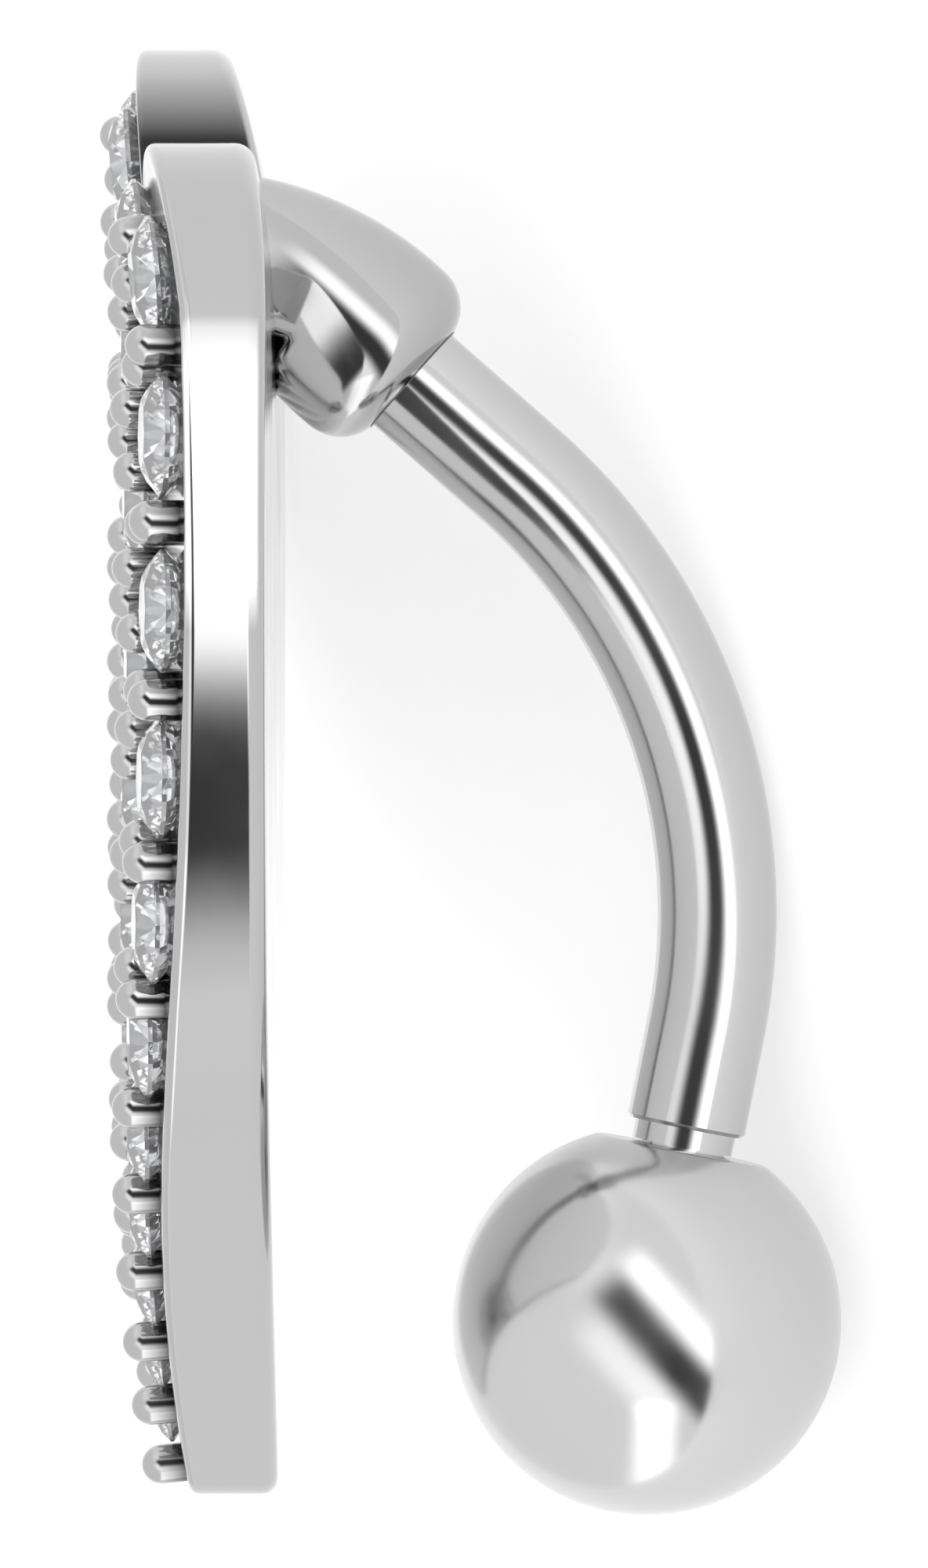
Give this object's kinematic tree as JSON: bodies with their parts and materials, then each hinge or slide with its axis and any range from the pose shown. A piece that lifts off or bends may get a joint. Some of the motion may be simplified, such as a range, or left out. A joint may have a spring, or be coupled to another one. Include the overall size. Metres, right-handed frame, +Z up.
{
  "type": "navel ring",
  "caption": "Curved bar with a domed heart plate set with round clear stones at one end and a screw-on ball at the other.",
  "frame": {"origin": "middle of the footprint, on the table that the ring lies on", "axes": "+Z up from the table; +X from the ball's end towards the heart's lobes; +Y towards the heart's far side, away from the camera"},
  "size_m": [0.021, 0.0146, 0.0113],
  "materials": {
    "polished_steel": "mirror polished surgical steel",
    "clear_stone": "faceted clear cubic zirconia"
  },
  "bodies": {
    "jewel": {"heart_plate": "polished_steel", "curved_bar": "polished_steel", "border_stone_1": "clear_stone", "border_stone_2": "clear_stone", "border_stone_3": "clear_stone", "border_stone_4": "clear_stone", "border_stone_5": "clear_stone", "border_stone_6": "clear_stone", "border_stone_7": "clear_stone", "border_stone_8": "clear_stone", "border_stone_9": "clear_stone", "border_stone_10": "clear_stone", "border_stone_11": "clear_stone", "border_stone_12": "clear_stone", "border_stone_13": "clear_stone", "border_stone_14": "clear_stone", "border_stone_15": "clear_stone", "border_stone_16": "clear_stone", "border_stone_17": "clear_stone", "border_stone_18": "clear_stone", "border_stone_19": "clear_stone", "border_stone_20": "clear_stone", "border_stone_21": "clear_stone", "border_stone_22": "clear_stone", "border_stone_23": "clear_stone", "border_stone_24": "clear_stone", "border_stone_25": "clear_stone", "border_stone_26": "clear_stone", "field_stone_1": "clear_stone", "field_stone_2": "clear_stone", "field_stone_3": "clear_stone", "field_stone_4": "clear_stone", "field_stone_5": "clear_stone", "field_stone_6": "clear_stone", "field_stone_7": "clear_stone", "field_stone_8": "clear_stone", "field_stone_9": "clear_stone", "field_stone_10": "clear_stone", "field_stone_11": "clear_stone", "field_stone_12": "clear_stone", "field_stone_13": "clear_stone", "field_stone_14": "clear_stone", "field_stone_15": "clear_stone", "field_stone_16": "clear_stone", "field_stone_17": "clear_stone"},
    "ball": {"ball": "polished_steel"}
  },
  "joints": [
    {"name": "ball_off", "type": "slide", "parent": "jewel", "child": "ball", "axis": [-0.9175, 0.2345, 0.3211], "range_m": [0, 0.0045]}
  ]
}
